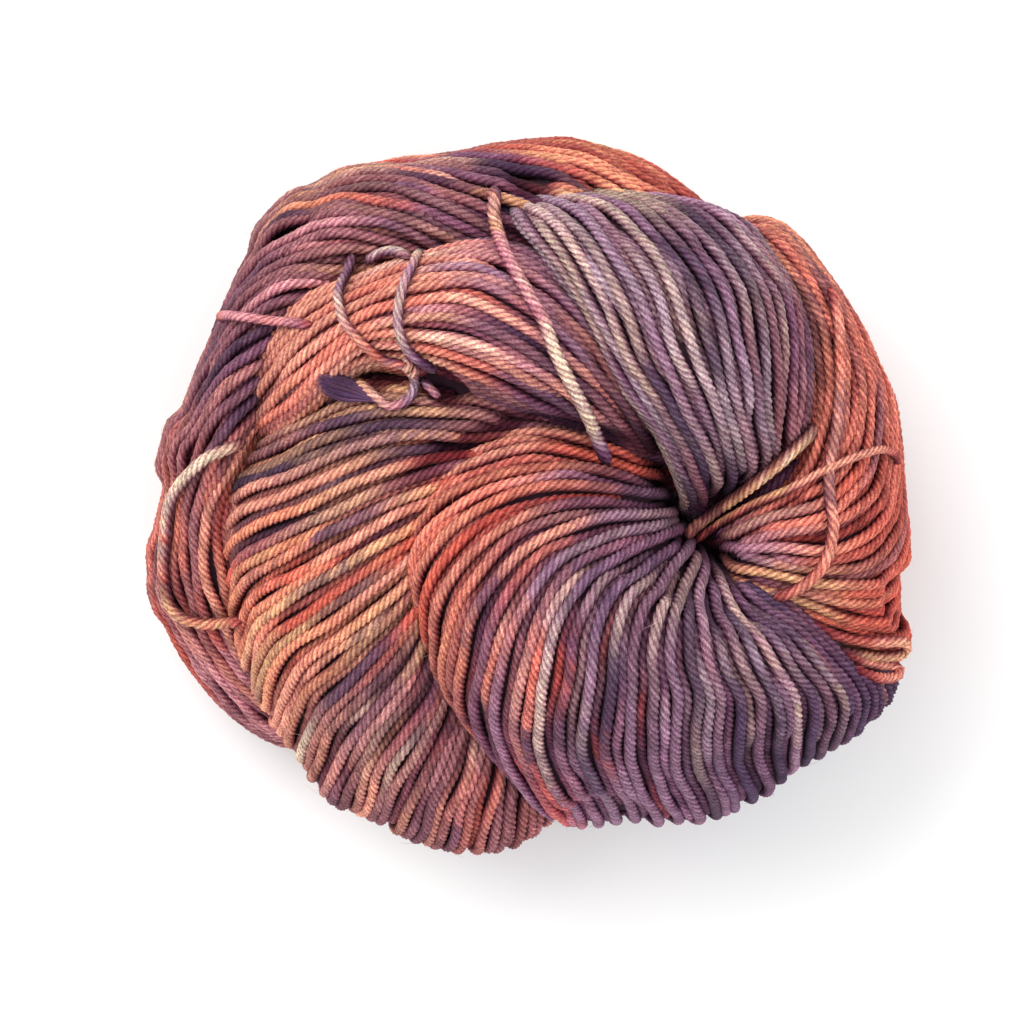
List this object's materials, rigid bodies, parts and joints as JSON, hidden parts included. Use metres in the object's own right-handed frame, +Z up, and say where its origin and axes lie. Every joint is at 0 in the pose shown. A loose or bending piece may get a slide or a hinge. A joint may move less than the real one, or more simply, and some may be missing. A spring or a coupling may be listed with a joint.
{
  "type": "hank of yarn",
  "caption": "Hand-dyed plied yarn wound into a hank and curled round on itself into a bun with fanned bundles, one of them tied with a short thread.",
  "frame": {"origin": "centre of the bounding box on the surface that the hank rests on", "axes": "+Z up, the fans seen from above; +X along the hank's longest extent, from the tied turn towards the hole's side"},
  "size_m": [0.119, 0.111, 0.076],
  "materials": {
    "yarn": "matte plied wool, dyed in plum, mauve, coral, brick and gold",
    "tie_thread": "matte thin plied thread"
  },
  "bodies": {
    "root": {"hank": "yarn", "tie": "tie_thread"}
  },
  "joints": []
}
